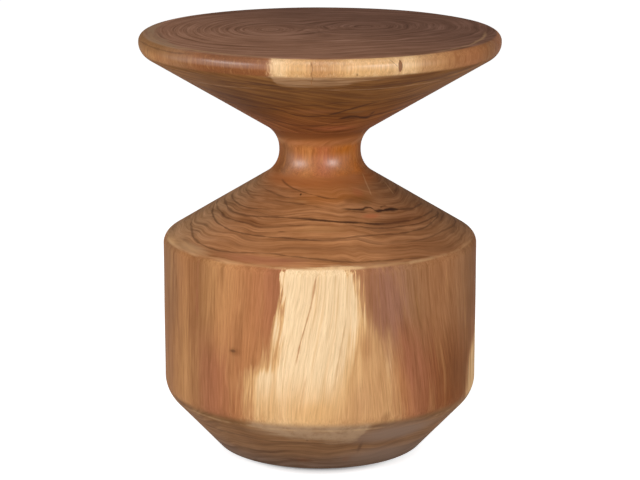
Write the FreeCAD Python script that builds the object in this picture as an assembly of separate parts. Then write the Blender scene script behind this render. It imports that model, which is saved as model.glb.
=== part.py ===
"""Turned hardwood accent table in the form of a waisted drum.

A wide conical top and a drum-shaped pedestal are turned from one log. They meet at the head of the
neck, on a fluted dowel that is glued into both. A check in the rim is filled with resin. The foot
stands on felt glides that are screwed into pockets in its underside.

Frame: millimetres, +Z up, the turning axis on Z, the floor at Z = 0. The front faces -Y.
"""
import FreeCAD, Part
import math
import os

# Turned outline: diameters
TOP_DIAMETER = 432.0
NECK_DIAMETER = 98.0
DRUM_DIAMETER = 379.0
FOOT_DIAMETER = 247.0

# Turned outline: heights of its stretches, from the foot up
FOOT_CLEARANCE = 2.0
FOOT_CONE_HEIGHT = 71.5
DRUM_HEIGHT = 186.5
SHOULDER_HEIGHT = 86.0
COVE_REACH = 19.1
NECK_STRAIGHT = 1.8
TOP_CONE_HEIGHT = 101.0
RIM_LOWER_REACH = 10.1
RIM_LAND = 0.9
RIM_UPPER_RADIUS = 10.0

# Turned outline: rounding of its other corners
FOOT_EDGE_RADIUS = 9.0
LOWER_ARRIS_RADIUS = 36.0
SHOULDER_ARRIS_RADIUS = 13.5

# Dowel that joins the top to the pedestal
DOWEL_DIAMETER = 38.0
DOWEL_LENGTH_IN_TOP = 60.0
DOWEL_LENGTH_IN_PEDESTAL = 80.0
DOWEL_CHAMFER = 2.5
DOWEL_FLUTES = 8
DOWEL_FLUTE_RADIUS = 1.6
GLUE_GAP = 0.1
SOCKET_END_GAP = 2.0

# Hollow turned in the underside, and the land left between it and the glide pockets
HOLLOW_DEPTH = 5.0
HOLLOW_LAND = 16.0

# Felt glides
GLIDE_COUNT = 4
GLIDE_FIRST_ANGLE = 45.0
GLIDE_EDGE_LAND = 12.0
CUP_DIAMETER = 32.0
CUP_HEIGHT = 5.0
CUP_FLOOR = 3.0
CUP_POCKET_GAP = 0.4
FELT_DIAMETER = 27.0
FELT_CUP_GAP = 0.3
FELT_EDGE_RADIUS = 0.6

# Countersunk wood screws that hold the glides
SCREW_SHANK_DIAMETER = 4.0
SCREW_HEAD_DIAMETER = 8.0
SCREW_HEAD_HEIGHT = 2.0
SCREW_LENGTH = 25.0
SCREW_POINT_LENGTH = 5.0
SCREW_POINT_DIAMETER = 0.8
SCREW_SLOT_WIDTH = 1.0
SCREW_SLOT_LENGTH = 4.4
SCREW_SLOT_DEPTH = 1.1
SCREW_GAP = 0.1

# Resin fill of the check in the rim, placed by its angle to the right of the front
FILL_ANGLE = 24.5
FILL_WIDTH = 5.0
FILL_LENGTH = 14.0
FILL_DEPTH = 9.0

# Levels and radii that follow from the driving dimensions
foot_level = FOOT_CLEARANCE
lower_arris_level = foot_level + FOOT_CONE_HEIGHT
shoulder_level = lower_arris_level + DRUM_HEIGHT
neck_low_level = shoulder_level + SHOULDER_HEIGHT
neck_high_level = neck_low_level + COVE_REACH + NECK_STRAIGHT + COVE_REACH
rim_low_level = neck_high_level + TOP_CONE_HEIGHT
top_level = rim_low_level + RIM_LOWER_REACH + RIM_LAND + RIM_UPPER_RADIUS
top_radius = TOP_DIAMETER / 2
neck_radius = NECK_DIAMETER / 2
drum_radius = DRUM_DIAMETER / 2
foot_radius = FOOT_DIAMETER / 2

# A rounding's reach is how far it takes up each of the two straight stretches that it joins.
top_cone_angle = math.atan2(TOP_CONE_HEIGHT, top_radius - neck_radius)
shoulder_angle = math.atan2(SHOULDER_HEIGHT, drum_radius - neck_radius)
upper_cove_radius = COVE_REACH / math.tan((math.pi / 2 - top_cone_angle) / 2)
lower_cove_radius = COVE_REACH / math.tan((math.pi / 2 - shoulder_angle) / 2)
rim_lower_radius = RIM_LOWER_REACH / math.tan((math.pi / 2 - top_cone_angle) / 2)

# The glue line lies where the neck's upper cove runs out into the cone of the top.
joint_radius = neck_radius + COVE_REACH * math.cos(top_cone_angle)
joint_level = neck_high_level + COVE_REACH * math.sin(top_cone_angle)
socket_radius = DOWEL_DIAMETER / 2 + GLUE_GAP

# Glides: each cup lies in a pocket of the foot, and its felt stands out to the floor.
pocket_radius = CUP_DIAMETER / 2 + CUP_POCKET_GAP
glide_circle_radius = foot_radius - GLIDE_EDGE_LAND - pocket_radius
hollow_radius = glide_circle_radius - pocket_radius - HOLLOW_LAND
cup_mouth_radius = FELT_DIAMETER / 2 + FELT_CUP_GAP
felt_height = FOOT_CLEARANCE + CUP_HEIGHT - CUP_FLOOR
screw_hole_radius = SCREW_SHANK_DIAMETER / 2 + SCREW_GAP

UP = FreeCAD.Vector(0, 0, 1)
ORIGIN = FreeCAD.Vector(0, 0, 0)
SAME_POINT = 1e-6


def rounded_edges(corners):
    """Edges of a closed outline in the XZ plane. A corner is (distance from the axis, height, rounding)."""
    points = [FreeCAD.Vector(r, 0, z) for r, z, _ in corners]
    roundings = [rounding for _, _, rounding in corners]
    starts, ends, middles = [], [], []
    for i, corner in enumerate(points):
        before = (points[i - 1] - corner).normalize()
        after = (points[(i + 1) % len(points)] - corner).normalize()
        half_angle = before.getAngle(after) / 2
        reach = roundings[i] / math.tan(half_angle)
        starts.append(corner + before * reach)
        ends.append(corner + after * reach)
        bisector = (before + after).normalize() if roundings[i] else ORIGIN
        depth = roundings[i] / math.sin(half_angle) - roundings[i]
        middles.append(corner + bisector * depth)
    edges = []
    for i in range(len(points)):
        if roundings[i]:
            edges.append(Part.Arc(starts[i], middles[i], ends[i]).toShape())
        following = starts[(i + 1) % len(points)]
        if ends[i].distanceToPoint(following) > SAME_POINT:
            edges.append(Part.LineSegment(ends[i], following).toShape())
    return edges


def turned(corners):
    """Solid turned about Z from an outline that starts and ends on the axis."""
    face = Part.Face(Part.Wire(rounded_edges(corners)))
    return face.revolve(ORIGIN, UP, 360)


def upright_cylinder(radius, low, high):
    return Part.makeCylinder(radius, high - low, FreeCAD.Vector(0, 0, low), UP)


def glide_places():
    """Centres of the glides on the floor."""
    places = []
    for i in range(GLIDE_COUNT):
        angle = math.radians(GLIDE_FIRST_ANGLE + 360.0 * i / GLIDE_COUNT)
        x = glide_circle_radius * math.cos(angle)
        y = glide_circle_radius * math.sin(angle)
        places.append(FreeCAD.Vector(x, y, 0))
    return places


def moved(shape, place):
    copy = shape.copy()
    copy.translate(place)
    return copy


def top_blank():
    return turned([
        (0, joint_level, 0),
        (joint_radius, joint_level, 0),
        (top_radius, rim_low_level, rim_lower_radius),
        (top_radius, top_level, RIM_UPPER_RADIUS),
        (0, top_level, 0),
    ])


def pedestal_blank():
    """Foot cone, drum, shoulder and neck. Its outline runs on into the top's cone, up to the glue line."""
    whole = turned([
        (0, foot_level, 0),
        (foot_radius, foot_level, FOOT_EDGE_RADIUS),
        (drum_radius, lower_arris_level, LOWER_ARRIS_RADIUS),
        (drum_radius, shoulder_level, SHOULDER_ARRIS_RADIUS),
        (neck_radius, neck_low_level, lower_cove_radius),
        (neck_radius, neck_high_level, upper_cove_radius),
        (top_radius, rim_low_level, 0),
        (0, rim_low_level, 0),
    ])
    return whole.common(upright_cylinder(drum_radius + top_radius, 0, joint_level))


def fill_prism():
    """Lens-shaped prism that reaches into the rim from outside, at the height of the rim's middle."""
    level = (rim_low_level + top_level) / 2
    outside = top_radius + FILL_DEPTH
    low = FreeCAD.Vector(0, -outside, level - FILL_LENGTH / 2)
    high = FreeCAD.Vector(0, -outside, level + FILL_LENGTH / 2)
    left = FreeCAD.Vector(-FILL_WIDTH / 2, -outside, level)
    right = FreeCAD.Vector(FILL_WIDTH / 2, -outside, level)
    outline = Part.Wire([Part.Arc(low, right, high).toShape(), Part.Arc(high, left, low).toShape()])
    prism = Part.Face(outline).extrude(FreeCAD.Vector(0, 2 * FILL_DEPTH, 0))
    prism.rotate(ORIGIN, UP, FILL_ANGLE)
    return prism


def table_top():
    socket_end = joint_level + DOWEL_LENGTH_IN_TOP + SOCKET_END_GAP
    socket = upright_cylinder(socket_radius, joint_level, socket_end)
    return top_blank().cut(socket).cut(fill_prism())


def rim_check_fill():
    return top_blank().common(fill_prism())


def pedestal():
    socket_end = joint_level - DOWEL_LENGTH_IN_PEDESTAL - SOCKET_END_GAP
    solid = pedestal_blank().cut(upright_cylinder(socket_radius, socket_end, joint_level))
    solid = solid.cut(upright_cylinder(hollow_radius, foot_level, foot_level + HOLLOW_DEPTH))
    pocket = upright_cylinder(pocket_radius, foot_level, foot_level + CUP_HEIGHT)
    pilot = upright_cylinder(screw_hole_radius, foot_level, felt_height + SCREW_LENGTH + SCREW_GAP)
    for place in glide_places():
        solid = solid.cut(moved(pocket.fuse(pilot), place))
    return solid


def neck_dowel():
    """Dowel with chamfered ends and flutes that let the glue rise."""
    low = joint_level - DOWEL_LENGTH_IN_PEDESTAL
    high = joint_level + DOWEL_LENGTH_IN_TOP
    radius = DOWEL_DIAMETER / 2
    dowel = turned([
        (0, low, 0),
        (radius - DOWEL_CHAMFER, low, 0),
        (radius, low + DOWEL_CHAMFER, 0),
        (radius, high - DOWEL_CHAMFER, 0),
        (radius - DOWEL_CHAMFER, high, 0),
        (0, high, 0),
    ])
    flute = upright_cylinder(DOWEL_FLUTE_RADIUS, low, high)
    for i in range(DOWEL_FLUTES):
        angle = 2 * math.pi * i / DOWEL_FLUTES
        place = FreeCAD.Vector(radius * math.cos(angle), radius * math.sin(angle), 0)
        dowel = dowel.cut(moved(flute, place))
    return dowel


def glide_cup():
    """Moulded cup, mouth down, with a countersunk hole in its floor."""
    cup = upright_cylinder(CUP_DIAMETER / 2, foot_level, foot_level + CUP_HEIGHT)
    cup = cup.cut(upright_cylinder(cup_mouth_radius, foot_level, felt_height))
    head_radius = SCREW_HEAD_DIAMETER / 2 + SCREW_GAP
    place = FreeCAD.Vector(0, 0, felt_height)
    countersink = Part.makeCone(head_radius, screw_hole_radius, SCREW_HEAD_HEIGHT, place, UP)
    hole = upright_cylinder(screw_hole_radius, felt_height, foot_level + CUP_HEIGHT)
    return cup.cut(countersink.fuse(hole))


def glide_felt():
    """Felt disc in the cup's mouth, with its lower edge worn round."""
    return turned([
        (0, 0, 0),
        (FELT_DIAMETER / 2, 0, FELT_EDGE_RADIUS),
        (FELT_DIAMETER / 2, felt_height, 0),
        (0, felt_height, 0),
    ])


def glide_screw():
    """Countersunk screw, head down on the felt, with a cross recess and a tapered point."""
    shank_radius = SCREW_SHANK_DIAMETER / 2
    tip_level = felt_height + SCREW_LENGTH
    screw = turned([
        (0, felt_height, 0),
        (SCREW_HEAD_DIAMETER / 2, felt_height, 0),
        (shank_radius, felt_height + SCREW_HEAD_HEIGHT, 0),
        (shank_radius, tip_level - SCREW_POINT_LENGTH, 0),
        (SCREW_POINT_DIAMETER / 2, tip_level, 0),
        (0, tip_level, 0),
    ])
    for length, width in ((SCREW_SLOT_LENGTH, SCREW_SLOT_WIDTH), (SCREW_SLOT_WIDTH, SCREW_SLOT_LENGTH)):
        corner = FreeCAD.Vector(-length / 2, -width / 2, felt_height)
        screw = screw.cut(Part.makeBox(length, width, SCREW_SLOT_DEPTH, corner))
    return screw


def all_parts():
    """Every node's name and shape."""
    parts = {
        "table_top": table_top(),
        "pedestal": pedestal(),
        "neck_dowel": neck_dowel(),
        "rim_check_fill": rim_check_fill(),
    }
    cup, felt, screw = glide_cup(), glide_felt(), glide_screw()
    for number, place in enumerate(glide_places(), start=1):
        parts[f"glide_cup_{number}"] = moved(cup, place)
        parts[f"glide_felt_{number}"] = moved(felt, place)
    parts["glide_screws"] = Part.makeCompound([moved(screw, place) for place in glide_places()])
    return parts


os.makedirs("parts", exist_ok=True)
for name, shape in all_parts().items():
    shape.exportStep(f"parts/{name}.step")
    solids = len(shape.Solids)
    print(f"{name}: {solids} solid(s), {shape.Volume / 1000:.1f} cm3, valid {shape.isValid()}")
print(f"height {top_level:.1f} mm, glue line at {joint_level:.1f} mm, radius {joint_radius:.1f} mm")
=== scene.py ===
"""Looks of a turned hardwood accent table.

The top and the pedestal are turned meshes that follow the solids, with the marks of a real log: heartwood
and sapwood, growth rings, long grain, knots, a hairline check and a filled one. Lengths are in metres,
figures in the wood are placed by degrees round the axis (0 at the front, + to the right) and millimetres.
"""

import math
from typing import NamedTuple

import bmesh
import bpy
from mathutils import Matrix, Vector, noise


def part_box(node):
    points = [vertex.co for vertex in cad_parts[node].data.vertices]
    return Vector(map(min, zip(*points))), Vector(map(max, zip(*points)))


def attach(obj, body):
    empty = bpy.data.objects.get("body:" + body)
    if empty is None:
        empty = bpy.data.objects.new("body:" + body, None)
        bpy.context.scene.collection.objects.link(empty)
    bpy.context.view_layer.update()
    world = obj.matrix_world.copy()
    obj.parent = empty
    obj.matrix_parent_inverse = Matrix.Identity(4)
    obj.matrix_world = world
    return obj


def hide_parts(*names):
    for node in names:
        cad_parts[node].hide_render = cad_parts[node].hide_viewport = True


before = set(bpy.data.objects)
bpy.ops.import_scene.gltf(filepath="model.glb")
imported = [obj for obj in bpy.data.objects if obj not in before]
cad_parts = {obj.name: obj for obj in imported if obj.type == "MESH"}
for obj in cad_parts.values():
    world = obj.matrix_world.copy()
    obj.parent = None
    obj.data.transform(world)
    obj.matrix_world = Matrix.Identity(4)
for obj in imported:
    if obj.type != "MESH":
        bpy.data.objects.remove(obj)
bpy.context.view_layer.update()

MM = 0.001

# Turned outline: what the frame gives
top_low, top_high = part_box("table_top")
pedestal_low, pedestal_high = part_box("pedestal")
dowel_low, dowel_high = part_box("neck_dowel")
TOP_RADIUS = (top_high[0] - top_low[0]) / 2
TOP_LEVEL = top_high[2]
JOINT_LEVEL = top_low[2]
DRUM_RADIUS = (pedestal_high[0] - pedestal_low[0]) / 2
FOOT_LEVEL = pedestal_low[2]

# Turned outline: its other sizes
NECK_RADIUS = 49.0 * MM
FOOT_RADIUS = 123.5 * MM
LOWER_ARRIS_LEVEL = 73.5 * MM
SHOULDER_LEVEL = 260.0 * MM
NECK_LOW_LEVEL = 346.0 * MM
NECK_HIGH_LEVEL = 386.0 * MM
RIM_LOW_LEVEL = 487.0 * MM
COVE_REACH = 19.1 * MM
RIM_LOWER_REACH = 10.1 * MM
RIM_UPPER_RADIUS = 10.0 * MM
FOOT_EDGE_RADIUS = 9.0 * MM
LOWER_ARRIS_RADIUS = 36.0 * MM
SHOULDER_ARRIS_RADIUS = 13.5 * MM
HOLLOW_RADIUS = 62.7 * MM
HOLLOW_DEPTH = 5.0 * MM
SOCKET_RADIUS = 19.1 * MM
SOCKET_END_GAP = 2.0 * MM
POCKET_GAP = 0.4 * MM
GLUE_LINE_CHAMFER = 0.35 * MM
GLIDE_COUNT = 4

# Marks in the surface: sanding outside the socket, the hairline check, the pocket of the fill
SANDED_RADIUS = 1.01 * SOCKET_RADIUS
WAVINESS = 0.22 * MM
WAVE_LENGTH = 70.0 * MM
CHECK_ANGLE = -2.6
CHECK_HALF_WIDTH = 0.09
CHECK_DEPTH = 1.2 * MM
CHECK_HEAD = 3.0 * MM
CHECK_END_RADIUS = 196.0 * MM
CHECK_FADING = 12.0 * MM
CHECK_REACH = 2.0
CHECK_WANDER = 1.1
CHECK_WANDER_PLACE = (60, 90, 3.7)
FILL_ANGLE = 24.5
FILL_HALF_WIDTH = 2.5 * MM
FILL_HALF_LENGTH = 7.0 * MM
FILL_DENT = 1.2 * MM
FILL_RIM_DEPTH = 8.0 * MM

# Fineness of the turned meshes
STEPS_ROUND = 288
STEPS_PER_ARC = 16
LONGEST_STEP = 5.0 * MM
SHARP_ANGLE = math.radians(32)
CHECK_FINE_WIDTH = 1.8
FILL_FINE_WIDTH = 1.4
FILL_STEPS = 8
POCKET_STEPS = 64
LEAST_STEP = 1e-7
LEAST_RADIUS = 1e-6
ANGLE_DIGITS = 4


# Objects and their meshes

def new_object(name, data):
    """Object in the scene that shows this data."""
    ob = bpy.data.objects.new(name, data)
    bpy.context.scene.collection.objects.link(ob)
    return ob


def new_mesh(name, mesh):
    """Mesh data of a bmesh that isn't needed any more."""
    data = bpy.data.meshes.new(name)
    mesh.to_mesh(data)
    mesh.free()
    return data


def piece(name, data, material, node):
    """Object that stands for a node of the frame."""
    ob = new_object(name, data)
    data.materials.append(material)
    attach(ob, "root")
    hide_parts(node)
    return ob


# Turned meshes

def reach_to_radius(reach, corner, before, after):
    """Radius of the arc that takes up this reach on both sides of a corner."""
    half = (Vector(before) - Vector(corner)).angle(Vector(after) - Vector(corner)) / 2
    return reach * math.tan(half)


def rounded_outline(corners):
    """Points (r, z) along an open outline whose corners are (r, z, radius of the rounding)."""
    points = []
    for i, (r, z, radius) in enumerate(corners):
        corner = Vector((r, z))
        if not radius:
            points.append(corner)
            continue
        before = (Vector(corners[i - 1][:2]) - corner).normalized()
        after = (Vector(corners[i + 1][:2]) - corner).normalized()
        half = before.angle(after) / 2
        centre = corner + (before + after).normalized() * radius / math.sin(half)
        start = corner + before * radius / math.tan(half) - centre
        end = corner + after * radius / math.tan(half) - centre
        sweep = start.angle(end)
        for k in range(STEPS_PER_ARC + 1):
            t = k / STEPS_PER_ARC
            along = (start * math.sin((1 - t) * sweep) + end * math.sin(t * sweep)) / math.sin(sweep)
            points.append(centre + along)
    return points


def stepped(points, longest):
    """The same outline with no step longer than this, and no doubled points."""
    fine = [points[0]]
    for end in points[1:]:
        start = fine[-1]
        length = (end - start).length
        if length < LEAST_STEP:
            continue
        count = math.ceil(length / longest)
        fine += [start.lerp(end, k / count) for k in range(1, count + 1)]
    return fine


def angles_round(refined):
    """Degrees of the mesh's columns, with finer ones round each (centre, half width, step)."""
    angles = {round(360.0 * k / STEPS_ROUND - 180.0, ANGLE_DIGITS) for k in range(STEPS_ROUND)}
    for centre, half_width, step in refined:
        angles = {a for a in angles if abs(a - centre) > half_width}
        count = round(half_width / step)
        angles |= {round(centre + k * step, ANGLE_DIGITS) for k in range(-count, count + 1)}
    return sorted(angles)


def turned(point, angle):
    """Place of an outline's point that is turned to this angle."""
    turn = math.radians(angle)
    return Vector((point.x * math.sin(turn), -point.x * math.cos(turn), point.y))


def turned_mesh(name, outline, angles, relief):
    """Mesh turned about Z. relief gives how far a point moves along its normal, and round the axis."""
    normals = []
    for i, point in enumerate(outline):
        along = outline[min(i + 1, len(outline) - 1)] - outline[max(i - 1, 0)]
        normals.append(Vector((along.y, -along.x)).normalized())
    mesh = bmesh.new()
    rows = []
    for point, normal in zip(outline, normals):
        if point.x < LEAST_RADIUS:
            rows.append([mesh.verts.new((0, 0, point.y))])
            continue
        row = []
        for angle in angles:
            shift, twist = relief(angle, point)
            row.append(mesh.verts.new(turned(point + normal * shift, angle + twist)))
        rows.append(row)
    count = len(angles)
    for low, high in zip(rows, rows[1:]):
        for k in range(count):
            after = (k + 1) % count
            near = [low[k % len(low)], low[after % len(low)]]
            far = [high[after % len(high)], high[k % len(high)]]
            mesh.faces.new(dict.fromkeys(near + far))
    bmesh.ops.recalc_face_normals(mesh, faces=mesh.faces)
    return new_mesh(name, mesh)


def smooth(data):
    """Smooth shading that stays sharp at the corners of the outline."""
    data.shade_smooth()
    data.set_sharp_from_angle(angle=SHARP_ANGLE)


def waviness(angle, point):
    """Slight unevenness of hand sanding."""
    return WAVINESS * noise.noise(turned(point, angle) / WAVE_LENGTH)


def sanded(point):
    """True on faces that are sanded by hand: not in the joint, where the foot stands or on the flat top."""
    in_joint = abs(point.y - JOINT_LEVEL) < MM
    return point.x > SANDED_RADIUS and FOOT_LEVEL + MM < point.y < TOP_LEVEL and not in_joint


def top_relief(angle, point):
    if not sanded(point):
        return 0.0, 0.0
    shift = waviness(angle, point)
    twist = 0.0
    # The hairline check runs from the rim's upper edge into the cone and wanders as it goes.
    aside = abs(angle - CHECK_ANGLE)
    nearness = max(0.0, 1 - aside / CHECK_REACH)
    if nearness and point.y < TOP_LEVEL - CHECK_HEAD and point.x > CHECK_END_RADIUS:
        per_radius, per_level, third = CHECK_WANDER_PLACE
        place = Vector((point.y * per_level, point.x * per_radius, third))
        twist = nearness * CHECK_WANDER * noise.noise(place)
        fading = min(1.0, (point.x - CHECK_END_RADIUS) / CHECK_FADING)
        shift -= CHECK_DEPTH * fading * max(0.0, 1 - aside / CHECK_HALF_WIDTH)
    # The fill lies in a lens-shaped pocket at the middle of the rim.
    across = abs(angle - FILL_ANGLE) * math.radians(1) * TOP_RADIUS / FILL_HALF_WIDTH
    along = (point.y - (RIM_LOW_LEVEL + TOP_LEVEL) / 2) / FILL_HALF_LENGTH
    if point.x > TOP_RADIUS - FILL_RIM_DEPTH and abs(along) < 1 and across < 1 - along * along:
        shift -= FILL_DENT
    return shift, twist


def pedestal_relief(angle, point):
    if not sanded(point):
        return 0.0, 0.0
    return waviness(angle, point), 0.0


def joint_corner():
    """Where the neck's upper cove runs out into the cone."""
    cone = Vector((TOP_RADIUS - NECK_RADIUS, RIM_LOW_LEVEL - NECK_HIGH_LEVEL)).normalized()
    return Vector((NECK_RADIUS, NECK_HIGH_LEVEL)) + cone * COVE_REACH


def make_table_top(material):
    joint = joint_corner()
    cone_foot = (joint.x, JOINT_LEVEL)
    rim_low = (TOP_RADIUS, RIM_LOW_LEVEL)
    rim_top = (TOP_RADIUS, TOP_LEVEL)
    socket_end = dowel_high[2] + SOCKET_END_GAP
    outline = rounded_outline([
        (0, socket_end, 0),
        (SOCKET_RADIUS, socket_end, 0),
        (SOCKET_RADIUS, JOINT_LEVEL, 0),
        (joint.x - GLUE_LINE_CHAMFER, JOINT_LEVEL, 0),
        (joint.x + GLUE_LINE_CHAMFER, JOINT_LEVEL + GLUE_LINE_CHAMFER, 0),
        (*rim_low, reach_to_radius(RIM_LOWER_REACH, rim_low, cone_foot, rim_top)),
        (*rim_top, RIM_UPPER_RADIUS),
        (0, TOP_LEVEL, 0),
    ])
    half_fill = math.degrees(FILL_HALF_WIDTH / TOP_RADIUS)
    angles = angles_round([
        (CHECK_ANGLE, CHECK_FINE_WIDTH, CHECK_HALF_WIDTH),
        (FILL_ANGLE, half_fill * FILL_FINE_WIDTH, half_fill / FILL_STEPS),
    ])
    data = turned_mesh("table_top_turned", stepped(outline, LONGEST_STEP), angles, top_relief)
    smooth(data)
    return piece("table_top_turned", data, material, "table_top")


def make_pedestal(material):
    joint = joint_corner()
    neck_low = (NECK_RADIUS, NECK_LOW_LEVEL)
    neck_high = (NECK_RADIUS, NECK_HIGH_LEVEL)
    shoulder = (DRUM_RADIUS, SHOULDER_LEVEL)
    hollow_level = FOOT_LEVEL + HOLLOW_DEPTH
    socket_end = dowel_low[2] - SOCKET_END_GAP
    outline = rounded_outline([
        (0, hollow_level, 0),
        (HOLLOW_RADIUS, hollow_level, 0),
        (HOLLOW_RADIUS, FOOT_LEVEL, 0),
        (FOOT_RADIUS, FOOT_LEVEL, FOOT_EDGE_RADIUS),
        (DRUM_RADIUS, LOWER_ARRIS_LEVEL, LOWER_ARRIS_RADIUS),
        (*shoulder, SHOULDER_ARRIS_RADIUS),
        (*neck_low, reach_to_radius(COVE_REACH, neck_low, shoulder, neck_high)),
        (*neck_high, reach_to_radius(COVE_REACH, neck_high, neck_low, joint)),
        (joint.x - GLUE_LINE_CHAMFER, JOINT_LEVEL, 0),
        (SOCKET_RADIUS, JOINT_LEVEL, 0),
        (SOCKET_RADIUS, socket_end, 0),
        (0, socket_end, 0),
    ])
    data = turned_mesh("pedestal_turned", stepped(outline, LONGEST_STEP), angles_round([]), pedestal_relief)
    data = with_glide_pockets(data)
    smooth(data)
    return piece("pedestal_turned", data, material, "pedestal")


def with_glide_pockets(data):
    """Cuts the pockets of the glide cups out of the foot."""
    cutter = bmesh.new()
    for number in range(1, GLIDE_COUNT + 1):
        low, high = (Vector(corner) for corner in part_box(f"glide_cup_{number}"))
        radius = (high.x - low.x) / 2 + POCKET_GAP
        depth = 2 * (high.z - low.z)
        middle = (low + high) / 2
        middle.z = high.z - depth / 2
        made = bmesh.ops.create_cone(
            cutter, cap_ends=True, segments=POCKET_STEPS, radius1=radius, radius2=radius, depth=depth)
        bmesh.ops.translate(cutter, verts=made["verts"], vec=middle)
    cutter_object = new_object("pocket_cutter", new_mesh("pocket_cutter", cutter))
    blank = new_object("pedestal_blank", data)
    cut = blank.modifiers.new("pockets", "BOOLEAN")
    cut.object = cutter_object
    cut.operation = "DIFFERENCE"
    cut.solver = "EXACT"
    bpy.context.view_layer.update()
    result = bpy.data.meshes.new_from_object(blank.evaluated_get(bpy.context.evaluated_depsgraph_get()))
    result.name = "pedestal_turned"
    for ob in (cutter_object, blank):
        bpy.data.objects.remove(ob)
    return result


# Material nodes

def srgb(red, green, blue):
    """Linear colour of an 8-bit display colour."""
    def linear(value):
        value /= 255
        return value / 12.92 if value <= 0.04045 else ((value + 0.055) / 1.055) ** 2.4
    return (linear(red), linear(green), linear(blue), 1.0)


class Graph:
    """Adds nodes to one new material. Each method returns an output, and takes outputs or plain values."""

    def __init__(self, name):
        self.material = bpy.data.materials.new(name)
        self.material.use_nodes = True
        self.tree = self.material.node_tree
        self.tree.nodes.clear()

    def add(self, kind, inputs=(), **settings):
        node = self.tree.nodes.new(kind)
        for key, value in settings.items():
            setattr(node, key, value)
        for key, value in dict(inputs).items():
            self.feed(node.inputs[key], value)
        return node

    def feed(self, socket, value):
        if isinstance(value, bpy.types.NodeSocket):
            self.tree.links.new(value, socket)
        else:
            socket.default_value = value

    def math(self, operation, a, b=0.0, c=0.0):
        return self.add("ShaderNodeMath", {0: a, 1: b, 2: c}, operation=operation).outputs[0]

    def chained(self, operation, first, *others):
        """One operation on several values in turn."""
        for other in others:
            first = self.math(operation, first, other)
        return first

    def plus(self, *values):
        return self.chained("ADD", *values)

    def minus(self, a, b):
        return self.math("SUBTRACT", a, b)

    def times(self, *values):
        return self.chained("MULTIPLY", *values)

    def vector(self, operation, a, b=(0, 0, 0)):
        node = self.add("ShaderNodeVectorMath", {0: a, 1: b}, operation=operation)
        return node.outputs["Value" if operation == "LENGTH" else "Vector"]

    def in_millimetres(self, coordinates):
        """Place on the object, from a node of texture coordinates."""
        place = self.vector("SCALE", coordinates.outputs["Object"])
        place.node.inputs["Scale"].default_value = 1 / MM
        return place

    def combine(self, x, y, z=0.0):
        return self.add("ShaderNodeCombineXYZ", {0: x, 1: y, 2: z}).outputs[0]

    def share(self, value, low, high):
        """0 at low, 1 at high, and straight between them."""
        inputs = {"Value": value, "From Min": low, "From Max": high}
        return self.add("ShaderNodeMapRange", inputs).outputs[0]

    def fade(self, value, start, end):
        """0 at start, 1 at end, and smooth between them."""
        inputs = {"Value": value, "From Min": start, "From Max": end}
        return self.add("ShaderNodeMapRange", inputs, interpolation_type="SMOOTHSTEP").outputs[0]

    def noise(self, vector, size, detail=2.0, roughness=0.5):
        """Noise from 0 to 1 with features of this size in the vector's own units."""
        inputs = {"Vector": vector, "Scale": 1 / size, "Detail": detail, "Roughness": roughness}
        return self.add("ShaderNodeTexNoise", inputs).outputs["Fac"]

    def curve(self, value, points):
        """Smooth curve through given (value, result) points."""
        low_in, high_in = points[0][0], points[-1][0]
        results = [result for _, result in points]
        low_out, high_out = min(results), max(results)
        span_out = (high_out - low_out) or 1.0
        node = self.add("ShaderNodeFloatCurve", {"Value": self.share(value, low_in, high_in)})
        line = node.mapping.curves[0]
        while len(line.points) < len(points):
            line.points.new(0.5, 0.5)
        for point, (at, result) in zip(line.points, points):
            point.location = ((at - low_in) / (high_in - low_in), (result - low_out) / span_out)
            point.handle_type = "AUTO_CLAMPED"
        node.mapping.update()
        return self.math("MULTIPLY_ADD", node.outputs[0], span_out, low_out)

    def bands(self, value, stops):
        """Colours along a value, each stop being (value, colour)."""
        low, high = stops[0][0], stops[-1][0]
        node = self.add("ShaderNodeValToRGB", {0: self.share(value, low, high)})
        node.color_ramp.interpolation = "B_SPLINE"
        elements = node.color_ramp.elements
        while len(elements) < len(stops):
            elements.new(0.5)
        for element, (at, colour) in zip(elements, stops):
            element.position = (at - low) / (high - low)
            element.color = colour
        return node.outputs[0]

    def mix(self, factor, a, b, blend="MIX"):
        """Colour from a to b. The colours are the node's inputs 6 and 7."""
        node = self.add("ShaderNodeMix", {0: factor, 6: a, 7: b}, data_type="RGBA", blend_type=blend)
        return node.outputs[2]

    def mix_value(self, factor, a, b):
        """Value from a to b, which are the node's inputs 2 and 3."""
        return self.add("ShaderNodeMix", {0: factor, 2: a, 3: b}).outputs[0]

    def patch(self, plane, centre, half, lean, soft):
        """1 inside an ellipse of the plane, fading to 0 at its edge over the share called soft."""
        inputs = {"Vector": plane, "Location": (*centre, 0), "Scale": (*half, 1),
                  "Rotation": (0, 0, math.radians(lean))}
        local = self.add("ShaderNodeMapping", inputs, vector_type="TEXTURE").outputs[0]
        return self.fade(self.vector("LENGTH", local), 1.0, 1.0 - soft)

    def finish(self, inputs, height, bump_distance):
        """Principled surface with these inputs, and a bump from the height."""
        surface = self.add("ShaderNodeBsdfPrincipled", inputs)
        bump = self.add("ShaderNodeBump", {"Height": height, "Strength": 1.0, "Distance": bump_distance})
        self.feed(surface.inputs["Normal"], bump.outputs[0])
        return self.shown(surface)

    def shown(self, shader):
        """The material, with this shader as its surface."""
        self.add("ShaderNodeOutputMaterial", {"Surface": shader.outputs[0]})
        return self.material


class Patch(NamedTuple):
    """Soft ellipse of colour. height is a level on the drum and a radius on the cones, in millimetres."""
    angle: float
    height: float
    half_angle: float
    half_height: float
    tint: tuple
    strength: float
    lean: float = 0.0
    soft: float = 0.8


class Line(NamedTuple):
    """Drawn line of colour through (along, across) points, which fades over the taper at its ends."""
    points: list
    half_width: float
    tint: tuple
    strength: float
    taper: float = 8.0


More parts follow.
